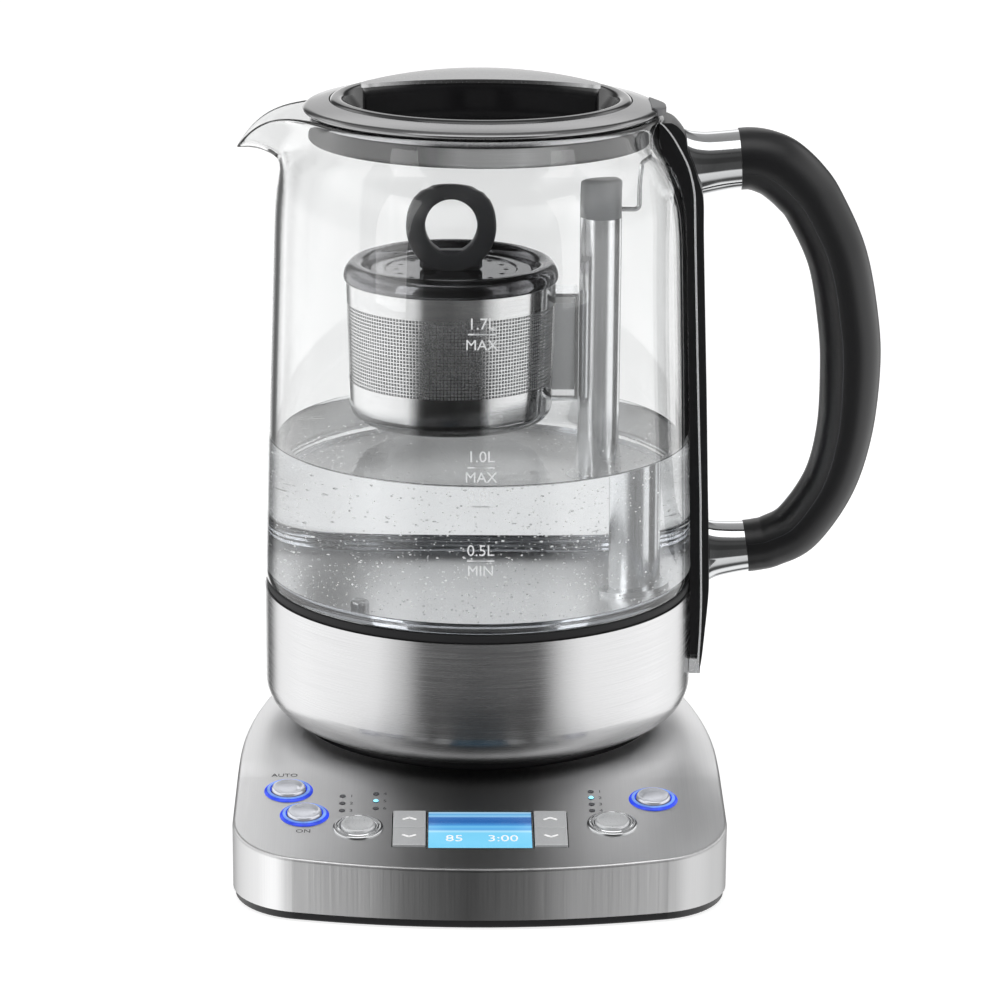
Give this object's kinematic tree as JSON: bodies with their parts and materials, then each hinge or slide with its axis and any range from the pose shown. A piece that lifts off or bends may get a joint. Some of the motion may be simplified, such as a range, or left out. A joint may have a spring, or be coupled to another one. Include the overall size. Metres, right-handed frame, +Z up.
{
  "type": "automatic tea maker",
  "caption": "Automatic tea maker: glass jug with a lift-out lid and a motor-driven tea basket, on a wedge-shaped power base with a control panel.",
  "frame": {"origin": "on the table, at the centre of the jug's axis, which is also the centre of the power connector", "axes": "+Z up; -Y towards the user, where the control panel is; +X the jug's handle; -X its spout"},
  "size_m": [0.2225, 0.213, 0.26],
  "materials": {
    "brushed_steel": "brushed",
    "satin_steel": "satin",
    "bright_steel": "polished",
    "silver_plastic": "satin silver",
    "black_plastic": "fine matte",
    "gloss_black": "semi gloss",
    "grey_plastic": "satin",
    "clear_glass": "clear",
    "display_cover": "clear",
    "display": "lit",
    "lamp": "clear",
    "lit_ring": "lit",
    "circuit_board": "matte",
    "silicone": "matte",
    "contact": "bright",
    "magnet": "matte",
    "aluminium": "cast"
  },
  "bodies": {
    "base": {"base_cover": "brushed_steel", "base_tray": "black_plastic", "foot_ring": "silicone", "base_screws": "satin_steel", "base_connector": "black_plastic", "contact_rings": "contact", "cord_inlet": "black_plastic", "halo_rings": "lit_ring", "select_bezels": "bright_steel", "indicator_lamps": "lamp", "lcd_window": "display_cover", "lcd_module": "display", "control_board": "circuit_board", "tact_switches": "black_plastic", "power_board": "circuit_board"},
    "connector": {"jug_connector": "black_plastic"},
    "jug": {"jug_base_plate": "black_plastic", "steel_skirt": "brushed_steel", "seal_band": "silicone", "heater_plate": "satin_steel", "heating_element": "aluminium", "temperature_sensor": "bright_steel", "glass_body": "clear_glass", "spine_core": "gloss_black", "spine_trim": "bright_steel", "spine_cover": "gloss_black", "end_clip": "grey_plastic", "thumb_plate": "grey_plastic", "upper_socket": "bright_steel", "lower_socket": "bright_steel", "grip_outer": "black_plastic", "grip_inner": "black_plastic", "post_tube": "bright_steel", "post_cap": "grey_plastic", "post_stay": "bright_steel", "lift_motor": "aluminium"},
    "screw": {"lead_screw": "satin_steel"},
    "magnet": {"drive_magnet": "magnet"},
    "basket": {"basket_cup": "satin_steel", "basket_rim": "bright_steel", "carriage_bracket": "bright_steel", "magnet_pad": "grey_plastic"},
    "basket_cover": {"basket_lid": "bright_steel", "ring_handle": "black_plastic"},
    "lid": {"lid_rim": "brushed_steel", "lid_gasket": "silicone", "lid_plug": "satin_steel", "lid_cup": "gloss_black", "grip_bar": "gloss_black", "grip_inlay": "satin_steel"},
    "auto_start_button": {"auto_start_button": "bright_steel"},
    "keep_warm_button": {"keep_warm_button": "bright_steel"},
    "tea_button": {"tea_button": "silver_plastic"},
    "strength_button": {"strength_button": "silver_plastic"},
    "start_button": {"start_button": "bright_steel"},
    "left_up_key": {"left_up_key": "silver_plastic"},
    "left_down_key": {"left_down_key": "silver_plastic"},
    "right_up_key": {"right_up_key": "silver_plastic"},
    "right_down_key": {"right_down_key": "silver_plastic"}
  },
  "joints": [
    {"name": "jug_lift", "type": "slide", "parent": "base", "child": "connector", "axis": [0, 0, 1], "range_m": [0, 0.15]},
    {"name": "jug_turn", "type": "hinge", "parent": "connector", "child": "jug", "pos_m": [0, 0, 0], "axis": [0, 0, 1], "continuous": true},
    {"name": "lid_lift", "type": "slide", "parent": "jug", "child": "lid", "axis": [0, 0, 1], "range_m": [0, 0.06]},
    {"name": "basket_travel", "type": "slide", "parent": "jug", "child": "basket", "axis": [0, 0, 1], "range_m": [-0.054, 0]},
    {"name": "magnet_travel", "type": "slide", "parent": "jug", "child": "magnet", "axis": [0, 0, 1], "range_m": [-0.054, 0]},
    {"name": "screw_turn", "type": "hinge", "parent": "jug", "child": "screw", "pos_m": [0.0417, 0, 0], "axis": [0, 0, 1], "range_deg": [0, 2431]},
    {"name": "basket_cover_lift", "type": "slide", "parent": "basket", "child": "basket_cover", "axis": [0, 0, 1], "range_m": [0, 0.012]},
    {"name": "auto_start_press", "type": "slide", "parent": "base", "child": "auto_start_button", "axis": [0, -0.1305, 0.9914], "range_m": [-0.0012, 0], "stiffness_N_per_m": 800},
    {"name": "keep_warm_press", "type": "slide", "parent": "base", "child": "keep_warm_button", "axis": [0, -0.1305, 0.9914], "range_m": [-0.0012, 0], "stiffness_N_per_m": 800},
    {"name": "tea_press", "type": "slide", "parent": "base", "child": "tea_button", "axis": [0, -0.1305, 0.9914], "range_m": [-0.0012, 0], "stiffness_N_per_m": 800},
    {"name": "strength_press", "type": "slide", "parent": "base", "child": "strength_button", "axis": [0, -0.1305, 0.9914], "range_m": [-0.0012, 0], "stiffness_N_per_m": 800},
    {"name": "start_press", "type": "slide", "parent": "base", "child": "start_button", "axis": [0, -0.1305, 0.9914], "range_m": [-0.0012, 0], "stiffness_N_per_m": 800},
    {"name": "left_up_press", "type": "slide", "parent": "base", "child": "left_up_key", "axis": [0, -0.1305, 0.9914], "range_m": [-0.0008, 0], "stiffness_N_per_m": 600},
    {"name": "left_down_press", "type": "slide", "parent": "base", "child": "left_down_key", "axis": [0, -0.1305, 0.9914], "range_m": [-0.0008, 0], "stiffness_N_per_m": 600},
    {"name": "right_up_press", "type": "slide", "parent": "base", "child": "right_up_key", "axis": [0, -0.1305, 0.9914], "range_m": [-0.0008, 0], "stiffness_N_per_m": 600},
    {"name": "right_down_press", "type": "slide", "parent": "base", "child": "right_down_key", "axis": [0, -0.1305, 0.9914], "range_m": [-0.0008, 0], "stiffness_N_per_m": 600}
  ],
  "couplings": [
    {"joint": "magnet_travel", "follows": "basket_travel", "ratio": 1},
    {"joint": "screw_turn", "follows": "basket_travel", "rad_per_m": -785.4}
  ]
}
